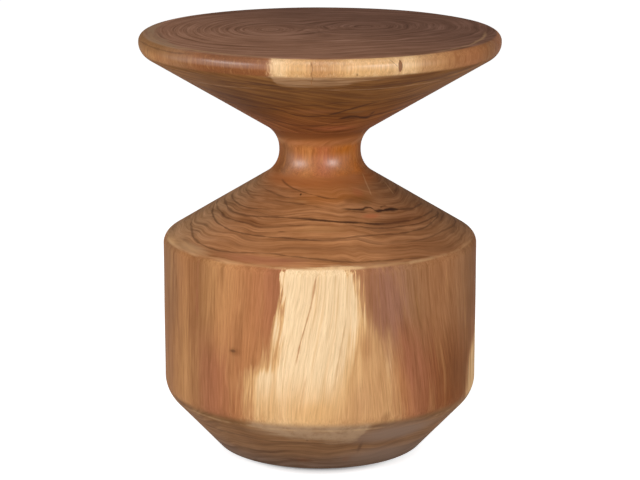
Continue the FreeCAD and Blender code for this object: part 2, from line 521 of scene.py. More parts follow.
class Figure(NamedTuple):
    """Noise in the wood. along is the share that the log's length is shortened to, for long grain."""
    size: float
    detail: float = 2.0
    roughness: float = 0.5
    along: float = 1.0


class Streaks(NamedTuple):
    """Streaks along the grain, which start and are whole at two values of their noise."""
    size: float
    along: float
    start: float
    whole: float
    strength: float


# Noise of the log
DRIFT = Figure(45, along=0.3)
FRINGE = Figure(2.6, 3, 0.65, along=0.035)
RAGGED = Figure(7, 4, 0.62, along=0.08)
BROAD_WAVES = Figure(70)
BROAD_WAVE_HEIGHT = 7.0
FINE_WAVES = Figure(12, 3, 0.6)
FINE_WAVE_HEIGHT = 0.9
LINE_WIDTHS = Figure(16)
LINE_WIDTH_CHANGE = 3.4
NARROWEST_LINE = 0.2
STREAK_DETAIL = 3
STREAK_ROUGHNESS = 0.62

# Wander of the drum's long grain
GRAIN_WANDER = Figure(80, along=0.5)
GRAIN_WANDER_DEGREES = 5.0

# Growth rings
RING_BENDING = Figure(120, along=0.25)
RING_DRIFT_SIZE = 34.0
RING_DRIFT_DETAIL = 1.0
RING_DRIFT = 3.0
LATE_WOOD = (0.45, 0.95), (1.0, 0.95)
WEAKEST_RING = 0.15
RING_LINES = Figure(2.4, 4, 0.7)
RING_LINE_TURN = 5.0
RING_STREAKS = Figure(7.0)
RING_STREAK_TURN = 7.0
RING_STREAK_SHARE = 0.7
RING_CLOUDS = Figure(38, 3, 0.55)
RING_CLOUD_DEPTH = 0.45

# Long grain, as noise and its depth, and how much faster green and blue darken in it than red
LONG_GRAIN = [
    (Figure(14, along=0.05), 0.4),
    (Figure(2.4, 3, 0.65, along=0.03), 0.63),
    (Figure(0.9, 2, 0.6, along=0.035), 0.8),
]
GREEN_POWER = 1.25
BLUE_POWER = 1.6

# Lacquer and open pores
LACQUER_SPECULAR = 0.2
RUBBED_ROUGHNESS = 0.78
COAT_ROUGHNESS = 0.38
COAT_IOR = 1.8
GLOSS_CLOUDS = Figure(30, 3, 0.6)
GLOSS_VARIATION = 0.2
PORES = Figure(0.85, 1, along=0.09)
PORE_EDGE = (0.67, 0.75)
PORE_DARKNESS = 0.16
PORE_DEPTH = 0.04 * MM
FIBRES = Figure(2.2, 2, 0.6, along=0.03)
FIBRE_HEIGHT = 0.5

# This share of a mask is added to the place of the next, too little to see, so that the renderer works
# the masks out one after another. It can hold only so many values at once.
TINY = 1e-9


class Log(Graph):
    """Solid wood of the log. Places are in millimetres, angles in degrees from the front."""

    def __init__(self, name, facing_up, facing_down, leaning=False):
        """End grain starts and is whole at these two slopes of the faces that look up and down."""
        super().__init__(name)
        coordinates = self.add("ShaderNodeTexCoord")
        self.place = self.in_millimetres(coordinates)
        split = self.add("ShaderNodeSeparateXYZ", {0: self.place})
        self.x, self.y, self.z = split.outputs
        self.radius = self.vector("LENGTH", self.combine(self.x, self.y))
        turn = self.math("ARCTAN2", self.x, self.times(self.y, -1.0))
        self.angle = self.times(turn, math.degrees(1))
        slope = self.add("ShaderNodeSeparateXYZ", {0: coordinates.outputs["Normal"]}).outputs[2]
        low, high = facing_down
        self.end_grain = self.plus(self.fade(slope, *facing_up), self.fade(slope, -low, -high))
        self.flow = self.place
        if leaning:
            self.flow = self.leaning()
        self.drift = self.centred(DRIFT)
        self.fringe = self.centred(FRINGE)
        self.ragged = self.centred(RAGGED)
        self.waves = self.shifted(self.times(self.centred(BROAD_WAVES), BROAD_WAVE_HEIGHT),
                                  self.centred(FINE_WAVES), FINE_WAVE_HEIGHT)
        widths = self.shifted(1.0, self.centred(LINE_WIDTHS), LINE_WIDTH_CHANGE)
        self.line_width = self.math("MAXIMUM", widths, NARROWEST_LINE)

    def leaning(self):
        """The place, turned about the axis so that noise along the log leans as the drum's grain does."""
        lean = self.times(self.curve(self.angle, GRAIN_LEAN), self.fade(self.z, *LEAN_LEVELS))
        wander = self.times(self.centred(GRAIN_WANDER), GRAIN_WANDER_DEGREES)
        turn = self.times(self.plus(self.minus(self.angle, lean), wander), math.radians(1))
        across = self.times(self.radius, self.math("SINE", turn))
        forward = self.times(self.radius, self.math("COSINE", turn))
        return self.combine(across, forward, self.z)

    def figure(self, kind, place=None):
        """Noise of this kind from 0 to 1, in the log or in a place that is given."""
        if place is None:
            place = self.place
            if kind.along != 1:
                place = self.vector("MULTIPLY", self.flow, (1, 1, kind.along))
        return self.noise(place, kind.size, kind.detail, kind.roughness)

    def centred(self, kind, place=None):
        """The same noise about 0."""
        return self.minus(self.figure(kind, place), 0.5)

    def streaks(self, kind):
        """Strength of these streaks at each place."""
        figure = self.figure(Figure(kind.size, STREAK_DETAIL, STREAK_ROUGHNESS, kind.along))
        return self.times(self.fade(figure, kind.start, kind.whole), kind.strength)

    def shifted(self, value, noise_value, amount):
        return self.math("MULTIPLY_ADD", noise_value, amount, value)

    def between(self, value, first, last):
        """1 between two fades of the value, each being where it starts and where it is whole."""
        return self.times(self.fade(value, *first), self.fade(value, *last))

    def from_pith(self, pith, stretch=(1, 1)):
        """Distance from a pith."""
        offset = self.vector("SUBTRACT", self.place, (*pith, 0))
        return self.vector("LENGTH", self.vector("MULTIPLY", offset, (*stretch, 0)))

    def growth(self, pith, bend):
        """Distance from the pith, bent as the log's rings are."""
        bending = self.centred(RING_BENDING)
        return self.plus(self.shifted(self.from_pith(pith), bending, bend), self.waves)

    def along_rings(self, growth, turn):
        """Place in which noise runs along the rings: growth across them, and turn for each radian."""
        east = self.math("DIVIDE", self.x, self.radius)
        north = self.math("DIVIDE", self.y, self.radius)
        return self.combine(growth, self.times(east, turn), self.times(north, turn))

    def rings(self, growth, spacing):
        """Growth rings: each darkens slowly outwards and ends sharply, and some are stronger."""
        inputs = {"W": growth, "Scale": 1 / RING_DRIFT_SIZE, "Detail": RING_DRIFT_DETAIL}
        uneven = self.add("ShaderNodeTexNoise", inputs, noise_dimensions="1D").outputs["Fac"]
        count = self.math("MULTIPLY_ADD", uneven, RING_DRIFT, self.times(growth, 1 / spacing))
        strength = self.add("ShaderNodeTexWhiteNoise", {"W": self.math("FLOOR", count)},
                            noise_dimensions="1D").outputs["Value"]
        late = self.between(self.math("FRACT", count), *LATE_WOOD)
        return self.times(late, self.mix_value(strength, WEAKEST_RING, 1.0))

    def ring_texture(self, growth, contrast):
        """Fine light and dark lines along the rings, about 1."""
        lines = self.centred(RING_LINES, self.along_rings(growth, RING_LINE_TURN))
        streaks = self.centred(RING_STREAKS, self.along_rings(growth, RING_STREAK_TURN))
        total = self.shifted(1.0, self.shifted(lines, streaks, RING_STREAK_SHARE), contrast)
        return self.warm(self.shifted(total, self.centred(RING_CLOUDS), RING_CLOUD_DEPTH))

    def grain(self):
        """Light and dark of the long grain, about 1."""
        total = 1.0
        for kind, depth in LONG_GRAIN:
            total = self.shifted(total, self.centred(kind), depth)
        return self.warm(total)

    def warm(self, shade):
        """Colour to multiply by: its dark is warmer than grey."""
        green = self.math("POWER", shade, GREEN_POWER)
        return self.combine(shade, green, self.math("POWER", shade, BLUE_POWER))

    def lobe(self, angle, left, right, left_soft, right_soft):
        """1 between two edges: curves of (level, angle) points, each with its half width in degrees."""
        left_edge = self.curve(self.z, left)
        right_edge = self.curve(self.z, right)
        return self.between(angle, (self.minus(left_edge, left_soft), self.plus(left_edge, left_soft)),
                            (self.plus(right_edge, right_soft), self.minus(right_edge, right_soft)))

    def paint(self, colour, patches, plane, scale=1.0):
        """Tints the colour in each patch. The plane has angle times scale across and height up."""
        for patch in patches:
            centre = (patch.angle * scale, patch.height)
            half = (patch.half_angle * scale, patch.half_height)
            mask = self.patch(plane, centre, half, patch.lean, patch.soft)
            colour = self.mix(self.times(mask, patch.strength), colour, patch.tint)
            plane = self.vector_after(plane, mask)
        return colour

    def draw(self, colour, lines, along, across, where=1.0):
        """Draws lines on the colour. where is 1 on the face that they lie on."""
        for line in lines:
            mask = self.line(along, across, line)
            colour = self.mix(self.times(mask, where, line.strength), colour, line.tint)
            along = self.math("MULTIPLY_ADD", mask, TINY, along)
        return colour

    def line(self, along, across, line):
        """1 on a drawn line, fading at its uneven sides and over the taper at its ends."""
        offset = self.math("ABSOLUTE", self.minus(across, self.curve(along, line.points)))
        first, last = line.points[0][0], line.points[-1][0]
        ends = self.between(along, (first, first + line.taper), (last, last - line.taper))
        sides = self.fade(self.math("DIVIDE", offset, self.line_width), line.half_width, 0.0)
        return self.times(sides, ends)

    def vector_after(self, place, earlier):
        """The same place, worked out after the earlier value, so that few values are in hand at once."""
        inputs = {0: earlier, 1: (TINY, TINY, TINY), 2: place}
        return self.add("ShaderNodeVectorMath", inputs, operation="MULTIPLY_ADD").outputs[0]

    def lacquered(self, colour, polish):
        """Rubbed lacquer over the wood, with open pores. polish is 1 where a gloss coat has stayed."""
        pores = self.fade(self.figure(PORES), *PORE_EDGE)
        colour = self.mix(self.times(pores, PORE_DARKNESS), colour, UMBER)
        roughness = self.shifted(RUBBED_ROUGHNESS, self.centred(GLOSS_CLOUDS), GLOSS_VARIATION)
        height = self.minus(self.times(self.figure(FIBRES), FIBRE_HEIGHT), pores)
        inputs = {"Base Color": colour, "Roughness": roughness, "Specular IOR Level": LACQUER_SPECULAR,
                  "Coat Weight": polish, "Coat Roughness": COAT_ROUGHNESS, "Coat IOR": COAT_IOR}
        return self.finish(inputs, height, PORE_DEPTH)


# Lean of the drum's long grain from its foot to its head, in degrees to the right, by angle
GRAIN_LEAN = [
    (-110, 0), (-50, 1.5), (-30, 3), (-12, 6), (0, 8), (8, 5), (17, -2), (28, -8), (42, -8), (60, -4),
    (110, 0)]
LEAN_LEVELS = (60.0, 270.0)

# How strongly the drum's long grain shows, by angle
GRAIN_STRENGTH = [
    (-180, 0.9), (-60, 0.85), (-18, 0.8), (-8, 0.7), (12, 0.7), (28, 0.95), (42, 1.0), (180, 0.9)]

# Wood colours
CREAM = srgb(242, 210, 166)
PALE_GOLD = srgb(232, 192, 142)
GOLD = srgb(220, 170, 112)
TAN = srgb(204, 156, 108)
DULL_TAN = srgb(182, 140, 100)
TAUPE = srgb(178, 144, 110)
HONEY = srgb(192, 138, 86)
RUST = srgb(186, 106, 66)
ORANGE_BROWN = srgb(184, 124, 76)
RED_BROWN = srgb(174, 111, 69)
ROSE_BROWN = srgb(164, 101, 69)
BROWN = srgb(165, 111, 70)
DULL_BROWN = srgb(154, 109, 72)
MAUVE = srgb(155, 105, 82)
OLIVE_BROWN = srgb(138, 96, 58)
DUSKY_BROWN = srgb(122, 95, 76)
RUSSET = srgb(138, 80, 40)
CONE_BROWN = srgb(128, 82, 38)
CONE_DEEP = srgb(124, 73, 26)
CONE_AMBER = srgb(144, 86, 42)
NECK_RED = srgb(182, 106, 50)
NECK_GOLD = srgb(200, 132, 70)
NECK_AMBER = srgb(190, 110, 36)
GREY_TAN = srgb(158, 124, 94)
GREY_BROWN = srgb(142, 116, 98)
DARK_BROWN = srgb(126, 76, 40)
CHOCOLATE = srgb(153, 107, 80)
DEEP_CHOCOLATE = srgb(121, 82, 62)
UMBER = srgb(78, 45, 24)
KNOT = srgb(52, 27, 14)

# Heartwood round the drum, at its head and at its foot, and round the neck
HEAD_BANDS = [
    (-180, BROWN), (-150, HONEY), (-125, BROWN), (-100, RED_BROWN), (-82, DULL_BROWN), (-66, DULL_BROWN),
    (-58, ORANGE_BROWN), (-50, DARK_BROWN), (-41, HONEY), (-32, ORANGE_BROWN), (-22, RED_BROWN),
    (-15, ROSE_BROWN), (14, BROWN), (22, MAUVE), (32, DULL_BROWN), (42, BROWN), (54, BROWN),
    (66, DULL_BROWN), (78, DARK_BROWN), (100, BROWN), (130, HONEY), (155, RED_BROWN), (180, BROWN)]
FOOT_BANDS = [
    (-180, BROWN), (-150, RED_BROWN), (-120, HONEY), (-95, BROWN), (-80, DULL_BROWN), (-68, BROWN),
    (-58, HONEY), (-51, BROWN), (-43, ROSE_BROWN), (-33, RED_BROWN), (-26, ORANGE_BROWN),
    (30, ORANGE_BROWN), (37, ROSE_BROWN), (47, RUSSET), (58, RUSSET), (66, DARK_BROWN), (80, BROWN),
    (110, ORANGE_BROWN), (140, RED_BROWN), (165, HONEY), (180, BROWN)]
NECK_BANDS = [
    (-180, NECK_GOLD), (-120, NECK_RED), (-62, DARK_BROWN), (-48, BROWN), (-30, NECK_RED),
    (-17, NECK_GOLD), (-6, NECK_RED), (5, RUST), (15, NECK_RED), (30, NECK_AMBER), (46, NECK_AMBER),
    (60, NECK_RED), (76, DARK_BROWN), (120, NECK_RED), (180, NECK_GOLD)]
DRUM_PATCHES = [
    Patch(26, 218, 8, 60, MAUVE, 0.7, lean=14, soft=0.7),
    Patch(34.5, 154, 7, 64, ROSE_BROWN, 0.85, lean=20),
    Patch(58, 118, 9, 42, DARK_BROWN, 0.6, lean=16, soft=0.7),
    Patch(-57, 165, 4, 120, HONEY, 0.4),
    Patch(-38, 180, 6, 55, ORANGE_BROWN, 0.4),
]
DRUM_KNOT = [
    Patch(-31.4, 158, 3.6, 7, DARK_BROWN, 0.45),
    Patch(-32.2, 158.5, 1.8, 2.8, UMBER, 0.6),
]
DRUM_LINES = [
    Line([(72, -73), (120, -74.5), (180, -73), (230, -76), (262, -75)], 0.7, DARK_BROWN, 0.5),
    Line([(150, -63.5), (190, -65), (225, -64), (250, -66), (262, -65)], 0.6, DARK_BROWN, 0.5),
    Line([(80, -62.5), (110, -63), (150, -62)], 0.5, DARK_BROWN, 0.4),
    Line([(165, -51.5), (190, -49.5), (220, -50), (262, -48.5)], 0.7, ROSE_BROWN, 0.5),
]

# Sapwood of the drum: its colours by paleness, where it is pale, and where it is at least tan
SAP_COLOURS = [(0.0, HONEY), (0.4, TAN), (0.62, GOLD), (0.8, PALE_GOLD), (1.0, CREAM)]
CORE_LEFT = [
    (72, -18), (100, -25), (125, -23.5), (150, -16), (175, -14.5), (200, -13.5), (215, -12.6),
    (264, -12.4)]
CORE_RIGHT = [(72, 2), (105, 7), (130, 9), (160, 11), (185, 12.5), (206, 14), (240, 12.5), (264, 10.5)]
TAN_LEFT = [
    (72, -28), (95, -28.6), (118, -29), (132, -28), (142, -24.5), (152, -21), (175, -19), (202, -17.5),
    (213, -14), (264, -13)]
TAN_RIGHT = [
    (72, 31), (100, 29), (130, 28), (165, 26.5), (182, 24), (198, 20), (214, 17), (235, 15), (264, 12)]
# Half width of its edges in degrees by level; at the right, a factor for the core and a width for the tan
EDGE_SOFTNESS = [(72, 5.5), (125, 4.2), (150, 3), (200, 1.8), (214, 0.8), (264, 0.7)]
CORE_RIGHT_SOFTNESS = 2.0
TAN_RIGHT_SOFTNESS = 4.6
SAP_PATCHES = [
    Patch(-3, 88, 10, 22, GOLD, 0.7),
    Patch(17, 172, 5, 20, HONEY, 0.5),
    Patch(25, 148, 1.9, 26, PALE_GOLD, 0.6),
    Patch(24, 84, 2.6, 9, OLIVE_BROWN, 0.5),
    Patch(16, 110, 7, 34, TAN, 0.4),
]
SAP_LINES = [
    Line([(146, -8.8), (167, -7.5), (194, -5.3), (220, -3.2), (262, -0.8)], 0.5, ORANGE_BROWN, 0.8, 14),
    Line([(110, 4.5), (150, 6.2), (185, 8.2), (210, 9.5)], 0.6, HONEY, 0.5, 20),
    Line([(120, 10.5), (150, 12), (180, 13.5)], 0.9, HONEY, 0.55, 20),
    Line([(85, -7.5), (115, -6), (140, -4.5)], 0.7, HONEY, 0.45, 16),
]
# Its two other bands, at the right side and at the back
SIDE_LOBE_LEFT = [(72, 67), (100, 69), (120, 71), (140, 77), (160, 84), (190, 92), (225, 99), (264, 104)]
SIDE_LOBE_RIGHT = [(72, 118), (110, 115), (135, 119), (150, 113), (190, 110), (215, 113), (264, 115)]
BACK_LOBE_LEFT = [(72, -132), (95, -131), (125, -138), (160, -146), (200, -150), (264, -153)]
BACK_LOBE_RIGHT = [(72, -128), (95, -126), (125, -131), (160, -127), (200, -122), (264, -117)]
SIDE_LOBE_SOFTNESS = (5.0, 12.0)
BACK_LOBE_SOFTNESS = (8.0, 5.0)
OTHER_LOBES_PALENESS = 0.72

# Radius at which the sapwood starts on the shoulder and on the foot, by angle
SHOULDER_SAP = [
    (-170, 204), (-152, 188), (-136, 183), (-118, 187), (-100, 204), (-40, 204), (-16, 194), (-10, 190),
    (-4, 186), (2, 183.5), (8, 182.5), (12, 184), (17, 189), (24, 195), (40, 204), (96, 204), (106, 188),
    (114, 187), (124, 204)]
FOOT_SAP = [
    (-50, 204), (-31, 194), (-24, 185), (-17, 178), (-8, 173), (0, 171), (13, 168), (16, 178), (20, 190),
    (50, 204), (62, 198), (74, 184), (90, 176), (104, 174), (112, 186), (122, 204)]

# Figure of the shoulder, as (angle, radius), with a painted highlight along its arris
SHOULDER_BANDS = [
    (-180, BROWN), (-120, DULL_BROWN), (-82, DULL_TAN), (-54, BROWN), (-40, BROWN), (0, ORANGE_BROWN),
    (28, BROWN), (50, BROWN), (84, DULL_BROWN), (120, DULL_BROWN), (180, BROWN)]
SHOULDER_LINES_AND_ARRIS_HIGHLIGHT = [
    Line([(-95, 114), (-78, 116.6), (-62, 120.2), (-51, 120.6), (-40, 118.4), (-27, 115.4), (-12, 115.2),
          (-3, 117.6), (5, 119.6), (16, 122), (22, 124), (29, 127.5), (37, 129.5), (53, 131.5),
          (95, 138)], 2.0, UMBER, 0.6, 16),
    Line([(-100, 124), (-84, 125.6), (-67, 127.5), (-55, 130.3), (-46, 130), (-36, 129)],
         1.7, UMBER, 0.6, 10),
    Line([(36, 157), (44, 158.1), (63, 159), (85, 163.4), (100, 165)], 1.6, UMBER, 0.45, 10),
    # Pale line along the shoulder's arris: a painted highlight of the rounded edge
    Line([(-85, 177), (-73, 177), (-57, 180), (-42, 185), (-18, 186.5), (-5, 185), (21, 185), (53, 185.5),
          (85, 186)], 3.2, TAN, 0.3, 12),
    Line([(-16, 115), (-3, 117.6), (5, 119.6), (16, 122), (22, 124), (29, 127.5), (42, 130)],
         1.9, KNOT, 0.7, 12),
    Line([(12, 124), (16, 126), (22, 129.5), (28, 133), (37, 135.5), (53, 138), (90, 144)],
         1.7, UMBER, 0.65, 12),
    Line([(-26, 125), (-14, 125.3), (-4, 124.5)], 1.5, UMBER, 0.55),
    Line([(-95, 126), (-77, 132.2), (-68, 136.6), (-58, 140.7), (-49, 143.3), (-40, 144.4), (-18, 144.1),
          (-9, 145), (6, 149)], 1.8, UMBER, 0.65, 12),
    Line([(4, 146), (11, 143.5), (22, 142), (34, 143.7), (50, 145.7), (66, 145), (95, 142)],
         1.7, UMBER, 0.6, 10),
    Line([(-95, 152), (-76, 158.4), (-61, 168), (-52, 172), (-44, 174), (-34, 172), (-27, 169),
          (-20, 167.4), (-14, 169.5), (3, 173.7), (13, 177.4), (27, 179), (50, 182)], 1.8, UMBER, 0.55, 16),
    Line([(-85, 90), (-64, 93.5), (-50, 97)], 1.5, UMBER, 0.4),
    Line([(-38, 91.5), (-20, 93.8), (-11, 95.5), (4, 101)], 1.6, UMBER, 0.5),
    Line([(-62, 79), (-43, 82.8), (-33, 85.3), (-14, 87.5)], 1.6, UMBER, 0.5, 12),
    Line([(-95, 105), (-80, 107.4), (-66, 109.3), (-54, 109.7), (-41, 107.3), (-28, 104.6)],
         1.6, UMBER, 0.55, 12),
    Line([(-48, 63), (-40, 67), (-28, 72), (-15, 77.5), (-4, 82), (6, 86), (16, 88)], 1.7, UMBER, 0.6, 7),
    Line([(13, 102), (20, 104.5), (27, 106), (32, 104), (35, 105), (37, 110.5), (48, 111.7), (56, 115.5)],
         2.8, KNOT, 0.9),
    Line([(34, 109), (38, 110.5), (43, 111.3), (50, 112.5), (56, 115)], 4.2, KNOT, 0.8, 3),
    Line([(44, 112), (50, 113), (64, 118.5), (90, 123)], 2.6, KNOT, 0.55),
    Line([(41, 107), (45, 105.5), (48, 107)], 2.2, KNOT, 0.6, 1.5),
    Line([(18, 107), (26, 109.5), (32, 110)], 1.4, UMBER, 0.6, 4),
    Line([(43, 88), (45.5, 82.1), (48.7, 74.2), (53.6, 66.5), (60, 59)], 2.2, TAN, 0.6, 1.5),
    Line([(66.5, 95), (68.7, 91.6), (73.6, 84.9), (80.6, 78.2)], 1.8, TAN, 0.5, 1.5),
]
SHOULDER_PATCHES = [
    Patch(0, 62, 150, 18, NECK_RED, 0.75),
    Patch(12, 84, 45, 18, NECK_AMBER, 0.4),
    Patch(32, 92, 16, 12, CONE_DEEP, 0.55),
    Patch(-10, 160, 46, 12, DARK_BROWN, 0.42),
    Patch(42, 129, 24, 10, UMBER, 0.5),
    Patch(58, 128, 34, 20, RUSSET, 0.4),
    Patch(44, 172, 30, 26, DARK_BROWN, 0.45),
    Patch(31, 116, 8, 5, RUST, 0.7),
    Patch(33, 81, 7, 9, RUST, 0.4),
    Patch(22, 92, 6, 5, DARK_BROWN, 0.5),
    Patch(34, 97, 6, 5, OLIVE_BROWN, 0.6),
    Patch(0, 132, 18, 8, HONEY, 0.35),
    Patch(-14, 91, 7, 2.5, HONEY, 0.5),
    Patch(-19, 136, 3, 1.5, UMBER, 0.5),
    Patch(-58, 180, 16, 9, DULL_TAN, 0.8),
    Patch(-74, 184, 10, 8, TAN, 0.7),
    Patch(18, 184, 22, 6, DULL_TAN, 0.4),
    Patch(-22, 178, 26, 9, ROSE_BROWN, 0.7),
    Patch(-16.3, 81, 1.2, 2.6, KNOT, 0.9),
]

# Figure of the foot, as (angle, radius), and its colours by radius
FOOT_CONE_BANDS = [(110, DUSKY_BROWN), (132, DUSKY_BROWN), (150, OLIVE_BROWN), (195, OLIVE_BROWN)]
FOOT_LINES = [
    Line([(-48, 144), (-35, 146), (-18, 145)], 2.0, UMBER, 0.5),
    Line([(-22, 136), (-10, 138), (-2, 138), (12, 137.5)], 2.4, UMBER, 0.5),
    Line([(-60, 163), (-40, 168), (-22, 165), (-8, 166), (14, 164)], 1.8, UMBER, 0.45),
]
FOOT_PATCHES = [
    Patch(17.5, 158, 1.3, 13, UMBER, 0.55),
    Patch(-5, 171, 0.8, 3, UMBER, 0.5),
    Patch(13, 140, 3, 6, DARK_BROWN, 0.6),
    Patch(-8, 138, 6, 4, DARK_BROWN, 0.6),
    Patch(-20, 171, 5, 4, OLIVE_BROWN, 0.6),
    Patch(30, 174, 30, 18, GREY_BROWN, 0.8),
    Patch(32, 140, 34, 20, GREY_BROWN, 0.65),
    Patch(-20, 180, 14, 9, DULL_TAN, 0.4),
]

# Figure of the top's cone, as (angle, radius), and its colours by radius
CONE_LINES = [
    Line([(-85, 134), (-55, 133.3), (-31, 132.6), (-22, 130.9), (-15, 118.8), (-7, 115.7), (0, 116.1),
          (7, 121.3), (12, 128.6), (18, 137.8), (25, 147.6), (32, 153)], 2.4, UMBER, 0.9, 10),
    Line([(4, 118), (7, 121.3), (12, 128.6), (18, 137.8), (25, 147.6)], 5.0, UMBER, 0.65, 5),
    Line([(10, 106.5), (15, 109), (19, 111), (27, 106.5), (35, 102.6)], 4.2, KNOT, 0.85, 4),
    Line([(29, 106), (35, 110.4), (40, 111.3), (50, 117.7), (62, 122)], 3.0, UMBER, 0.85, 4),
    Line([(-30, 137), (-20, 138.8), (-11, 143.4), (0, 144.5), (10, 152.2), (25, 152.2), (37, 152.4),
          (60, 156)], 2.0, UMBER, 0.55, 8),
    Line([(-45, 97), (-31, 94.4), (-18, 88.9), (-6, 87.8), (8, 94.4), (16, 103.3)], 2.2, UMBER, 0.6, 8),
    Line([(-24, 80), (-14, 78.5), (0, 77.8), (16, 83.7), (26, 84)], 2.0, UMBER, 0.5, 8),
    Line([(-70, 150), (-50, 146), (-30, 142), (-16, 143)], 2.2, UMBER, 0.4, 10),
    Line([(-38, 195), (-25, 195.5), (-12, 194)], 4.0, UMBER, 0.6, 4),
    Line([(-22, 186), (-12, 187.5), (-7, 188.5)], 3.0, UMBER, 0.5, 4),
    Line([(5, 194), (16, 192), (32, 193), (50, 197)], 4.0, UMBER, 0.6, 6),
    Line([(-60, 180), (-45, 181), (-28, 184), (-20, 186)], 2.0, DULL_TAN, 0.4, 10),
    Line([(-2, 187), (6, 185.5), (14, 185), (34, 186), (50, 188)], 1.8, DULL_TAN, 0.5, 6),
    Line([(-12, 177), (-9, 180), (-5, 183), (-3.2, 188), (-2.2, 200), (-2, 212)], 0.9, UMBER, 0.7, 1.0),
]
CONE_PATCHES = [
    Patch(22, 107, 13, 5, UMBER, 0.5),
    Patch(31, 116, 1.5, 8, UMBER, 0.7),
    Patch(-16, 166, 12, 14, UMBER, 0.3),
    Patch(-3, 128, 17, 9, RED_BROWN, 0.3),
    Patch(20, 124, 8, 6, OLIVE_BROWN, 0.5),
    Patch(12, 80, 30, 9, RUST, 0.4),
    Patch(-42, 145, 26, 80, UMBER, 0.42),
]
CONE_SAP = [
    (-30, 222), (-16, 216), (-13.5, 200), (-6, 195), (4, 196), (8, 199), (12, 206), (24, 212), (31, 217),
    (45, 222)]
CONE_BANDS = [(66, CONE_AMBER), (95, CONE_AMBER), (125, CONE_DEEP), (165, CONE_BROWN), (212, CONE_BROWN)]

# Figure of the flat top, as (angle, radius), with a painted highlight along the edge of its face
TOP_SAP = [
    (-140, 224), (-112, 206), (-100, 196), (-84, 194), (-72, 190), (-62, 195), (-54, 202), (-44, 212),
    (-30, 224)]
TOP_LINES_AND_EDGE_HIGHLIGHT = [
    # The first two are pale lines along the edge of the face, a painted highlight of its rounded edge; the
    # last is a line of the grain
    Line([(-92, 201), (-60, 203), (-40, 205), (-10, 206)], 4.0, DULL_TAN, 0.65, 14),
    Line([(34, 207), (52, 204), (72, 198), (92, 197)], 3.4, DULL_TAN, 0.6, 14),
    Line([(24, 88), (33, 95), (42, 104)], 1.6, DULL_TAN, 0.35, 5),
]

# Centres of the rings, in millimetres from the axis
TOP_PITH = (51, 37)
BRANCH_PITH = (-60, 12)
PEDESTAL_PITH = (10, 2)

# Pale lines along the drum's two arrises: partly wear, partly a painted highlight of the rounded edges
WEAR_AND_HIGHLIGHT_LEVELS = (262.0, 69.0)
WEAR_AND_HIGHLIGHT_REACH = (2.2, 0.3)
WEAR_AND_HIGHLIGHT_RADII = (178, 182)
WEAR_AND_HIGHLIGHT_WAVINESS = 0.4
WEAR_AND_HIGHLIGHT_PLACES = Figure(40, 4, 0.6)
WEAR_AND_HIGHLIGHT_PLACES_EDGE = (0.4, 0.62)
WEAR_AND_HIGHLIGHT_STRENGTH = 0.24

# Long grain round the rim, and a painted shade along the upper edge of its left side
RIM_BANDS = [
    (-180, RED_BROWN), (-140, ORANGE_BROWN), (-110, TAN), (-90, DULL_TAN), (-76, OLIVE_BROWN),
    (-66, HONEY), (-58, BROWN), (-48, DULL_BROWN), (-40, RUSSET), (-30, DARK_BROWN), (-16, RUSSET),
    (-14, RED_BROWN), (33, TAN), (38, HONEY), (46, BROWN), (56, RED_BROWN), (66, OLIVE_BROWN),
    (78, MAUVE), (100, ORANGE_BROWN), (140, BROWN), (180, RED_BROWN)]
RIM_SAP = (-16.2, -13.6), (34.0, 28.0)
RIM_SAP_BANDS = [
    (-16, PALE_GOLD), (-12, PALE_GOLD), (-9, GOLD), (-4, GOLD), (-2, HONEY), (2, HONEY), (7, GOLD),
    (14, GOLD), (20, GOLD), (26, PALE_GOLD), (34, GOLD)]
RIM_LINES = [
    Line([(497, 23.6), (501, 22.6), (505, 21.2)], 0.3, UMBER, 0.6, 1.0),
    Line([(488, 11.2), (492, 11.0)], 0.3, UMBER, 0.5, 1.0),
    Line([(486, -69), (493, -68), (501, -67)], 0.6, UMBER, 0.5, 2.0),
]
# Dark line along the upper edge of the rim at the left, between the face and the side: painted shade
PAINTED_RIM_EDGE_SHADE = [
    Line([(-84, 501), (-70, 503), (-56, 503), (-40, 505.5)], 1.4, UMBER, 0.45, 8),
]


# End grain: rings, and the torn edge of the sapwood
RING_SPACING = 11.0
NARROW_RING_SPACING = 3.96
NARROW_RING_PLACES = Figure(55)
NARROW_RING_EDGE = (0.44, 0.6)
NARROW_RING_STRENGTH = 0.8
RING_FADING = (-0.12, 0.12)
FAINTEST_RINGS = 0.3
TORN = Figure(3, 3, 0.6)
TORN_TURN = 14.0
PATCH_WAVINESS = 0.4


def polar(g):
    """Plane of angle and radius, for figure on the cones."""
    return g.combine(g.shifted(g.angle, g.waves, PATCH_WAVINESS), g.plus(g.radius, g.waves))


def torn_edge(g, wavy, reach):
    """The radius with a torn edge, for sapwood on end grain."""
    return g.shifted(wavy, g.centred(TORN, g.along_rings(g.radius, TORN_TURN)), reach)


def ringed(g, colour, growth, strength, contrast):
    """End grain: wide rings, narrow ones in places, and their fine lines."""
    shown = g.mix_value(g.fade(g.drift, *RING_FADING), FAINTEST_RINGS, 1.0)
    wide = g.times(g.rings(growth, RING_SPACING), shown)
    colour = g.mix(g.times(wide, strength), colour, UMBER)
    where = g.fade(g.figure(NARROW_RING_PLACES), *NARROW_RING_EDGE)
    narrow = g.times(g.rings(growth, NARROW_RING_SPACING), where)
    colour = g.mix(g.times(narrow, strength, NARROW_RING_STRENGTH), colour, UMBER)
    return g.mix(1.0, colour, g.ring_texture(growth, contrast), "MULTIPLY")


